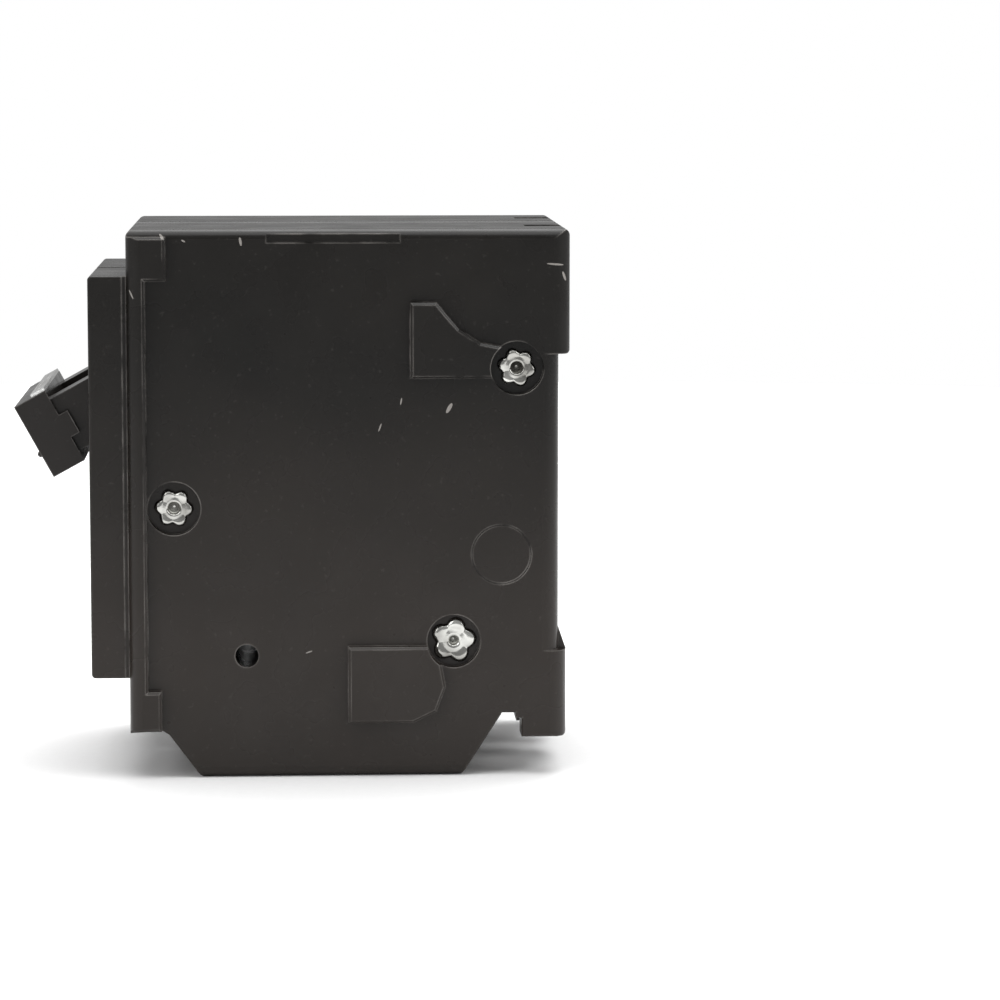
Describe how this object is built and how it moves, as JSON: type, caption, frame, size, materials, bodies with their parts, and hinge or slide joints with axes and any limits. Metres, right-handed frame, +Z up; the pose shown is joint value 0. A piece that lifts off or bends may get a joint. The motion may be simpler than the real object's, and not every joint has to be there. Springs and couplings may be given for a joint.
{
  "type": "two-pole plug-in circuit breaker",
  "caption": "Plug-in ground-fault circuit breaker: twin moulded poles with tied toggle handles, stab jaws and a mounting hook.",
  "frame": {"origin": "middle of the flat foot at the load end", "axes": "+X from the handles towards the panel side, +Y across the poles, +Z up to the line end"},
  "size_m": [0.0789, 0.0508, 0.078],
  "materials": {
    "case": "semi-gloss moulded thermoset",
    "handle": "satin",
    "copper": "bright",
    "spring_steel": "satin",
    "grease": "wet",
    "contact_silver": "satin",
    "zinc_steel": "satin",
    "fibre": "matt",
    "braid_copper": "woven",
    "bimetal": "satin",
    "brass": "satin",
    "bright_steel": "bright",
    "rivet": "bright nickel",
    "trip_bar": "satin",
    "board": "satin",
    "board_parts": "satin",
    "winding": "enamelled wire",
    "button": "satin"
  },
  "bodies": {
    "case": {"base_a": "case", "base_b": "case", "cover_a": "case", "cover_b": "case", "line_jaw_a": "copper", "line_jaw_b": "copper", "jaw_spring_a": "spring_steel", "jaw_spring_b": "spring_steel", "jaw_grease_a": "grease", "jaw_grease_b": "grease", "line_strap_a": "copper", "line_strap_b": "copper", "fixed_contact_a": "contact_silver", "fixed_contact_b": "contact_silver", "arc_plates_a": "zinc_steel", "arc_plates_b": "zinc_steel", "arc_holder_a": "fibre", "arc_holder_b": "fibre", "bimetal_a": "bimetal", "bimetal_b": "bimetal", "magnet_yoke_a": "zinc_steel", "magnet_yoke_b": "zinc_steel", "load_strap_a": "copper", "load_strap_b": "copper", "calibration_screw_a": "brass", "calibration_screw_b": "brass", "main_spring_a": "spring_steel", "main_spring_b": "spring_steel", "braid_a": "braid_copper", "braid_b": "braid_copper", "rivets": "rivet", "circuit_board": "board", "board_parts": "board_parts", "sensing_coil": "winding", "trip_solenoid": "winding", "solenoid_frame": "zinc_steel", "test_spring": "spring_steel", "test_leaf": "brass"},
    "handles": {"handle_a": "handle", "handle_b": "handle", "handle_tie": "handle", "tie_strip": "bright_steel"},
    "arm_a": {"contact_arm_a": "copper", "moving_contact_a": "contact_silver"},
    "cradle_a": {"cradle_a": "zinc_steel"},
    "armature_a": {"armature_a": "zinc_steel"},
    "lug_screw_a": {"lug_screw_a": "zinc_steel"},
    "lug_cage_a": {"lug_cage_a": "zinc_steel"},
    "arm_b": {"contact_arm_b": "copper", "moving_contact_b": "contact_silver"},
    "cradle_b": {"cradle_b": "zinc_steel"},
    "armature_b": {"armature_b": "zinc_steel"},
    "lug_screw_b": {"lug_screw_b": "zinc_steel"},
    "lug_cage_b": {"lug_cage_b": "zinc_steel"},
    "trip_bar": {"trip_bar": "trip_bar"},
    "plunger": {"solenoid_plunger": "zinc_steel"},
    "test_button": {"test_button": "button"}
  },
  "joints": [
    {"name": "handle_turn", "type": "hinge", "parent": "case", "child": "handles", "pos_m": [-0.0245, 0, 0.0572], "axis": [0, 1, 0], "range_deg": [0, 57.6]},
    {"name": "arm_a_turn", "type": "hinge", "parent": "case", "child": "arm_a", "pos_m": [-0.0135, -0.0127, 0.0555], "axis": [0, -1, 0], "range_deg": [0, 14], "deforming": ["braid_a", "main_spring_a"]},
    {"name": "arm_b_turn", "type": "hinge", "parent": "case", "child": "arm_b", "pos_m": [-0.0135, 0.0127, 0.0555], "axis": [0, -1, 0], "range_deg": [0, 14], "deforming": ["braid_b", "main_spring_b"]},
    {"name": "trip_bar_turn", "type": "hinge", "parent": "case", "child": "trip_bar", "pos_m": [0.013, 0, 0.0134], "axis": [0, 1, 0], "range_deg": [0, 5]},
    {"name": "armature_a_turn", "type": "hinge", "parent": "case", "child": "armature_a", "pos_m": [0.0029, -0.0127, 0.0205], "axis": [0, 1, 0], "range_deg": [0, 10]},
    {"name": "cradle_a_turn", "type": "hinge", "parent": "case", "child": "cradle_a", "pos_m": [-0.0145, -0.0127, 0.044], "axis": [0, -1, 0], "range_deg": [0, 12]},
    {"name": "armature_b_turn", "type": "hinge", "parent": "case", "child": "armature_b", "pos_m": [0.0029, 0.0127, 0.0205], "axis": [0, 1, 0], "range_deg": [0, 10]},
    {"name": "cradle_b_turn", "type": "hinge", "parent": "case", "child": "cradle_b", "pos_m": [-0.0145, 0.0127, 0.044], "axis": [0, -1, 0], "range_deg": [0, 12]},
    {"name": "plunger_slide", "type": "slide", "parent": "case", "child": "plunger", "axis": [1, 0, 0], "range_m": [0, 0.00127], "stiffness_N_per_m": 90, "springref_m": -0.0002},
    {"name": "lug_screw_a_turn", "type": "hinge", "parent": "case", "child": "lug_screw_a", "pos_m": [-0.0253, -0.0127, 0.0113], "axis": [1, 0, 0], "range_deg": [0, 1300]},
    {"name": "lug_cage_a_slide", "type": "slide", "parent": "case", "child": "lug_cage_a", "axis": [-1, 0, 0], "range_m": [0, 0.0028]},
    {"name": "lug_screw_b_turn", "type": "hinge", "parent": "case", "child": "lug_screw_b", "pos_m": [-0.0253, 0.0127, 0.0113], "axis": [1, 0, 0], "range_deg": [0, 1300]},
    {"name": "lug_cage_b_slide", "type": "slide", "parent": "case", "child": "lug_cage_b", "axis": [-1, 0, 0], "range_m": [0, 0.0028]},
    {"name": "test_button_slide", "type": "slide", "parent": "case", "child": "test_button", "axis": [1, 0, 0], "range_m": [0, 0.0015], "stiffness_N_per_m": 600, "springref_m": -0.0005, "deforming": ["test_spring"]}
  ],
  "couplings": [
    {"joint": "arm_a_turn", "follows": "handle_turn", "ratio": 0.2413},
    {"joint": "arm_b_turn", "follows": "handle_turn", "ratio": 0.2413},
    {"joint": "trip_bar_turn", "follows": "plunger_slide", "rad_per_m": 68.493},
    {"joint": "armature_a_turn", "follows": "plunger_slide", "rad_per_m": 136.99},
    {"joint": "cradle_a_turn", "follows": "plunger_slide", "rad_per_m": 164.38},
    {"joint": "armature_b_turn", "follows": "plunger_slide", "rad_per_m": 136.99},
    {"joint": "cradle_b_turn", "follows": "plunger_slide", "rad_per_m": 164.38},
    {"joint": "lug_screw_a_turn", "follows": "lug_cage_a_slide", "rad_per_m": 7854},
    {"joint": "lug_screw_b_turn", "follows": "lug_cage_b_slide", "rad_per_m": 7854}
  ]
}
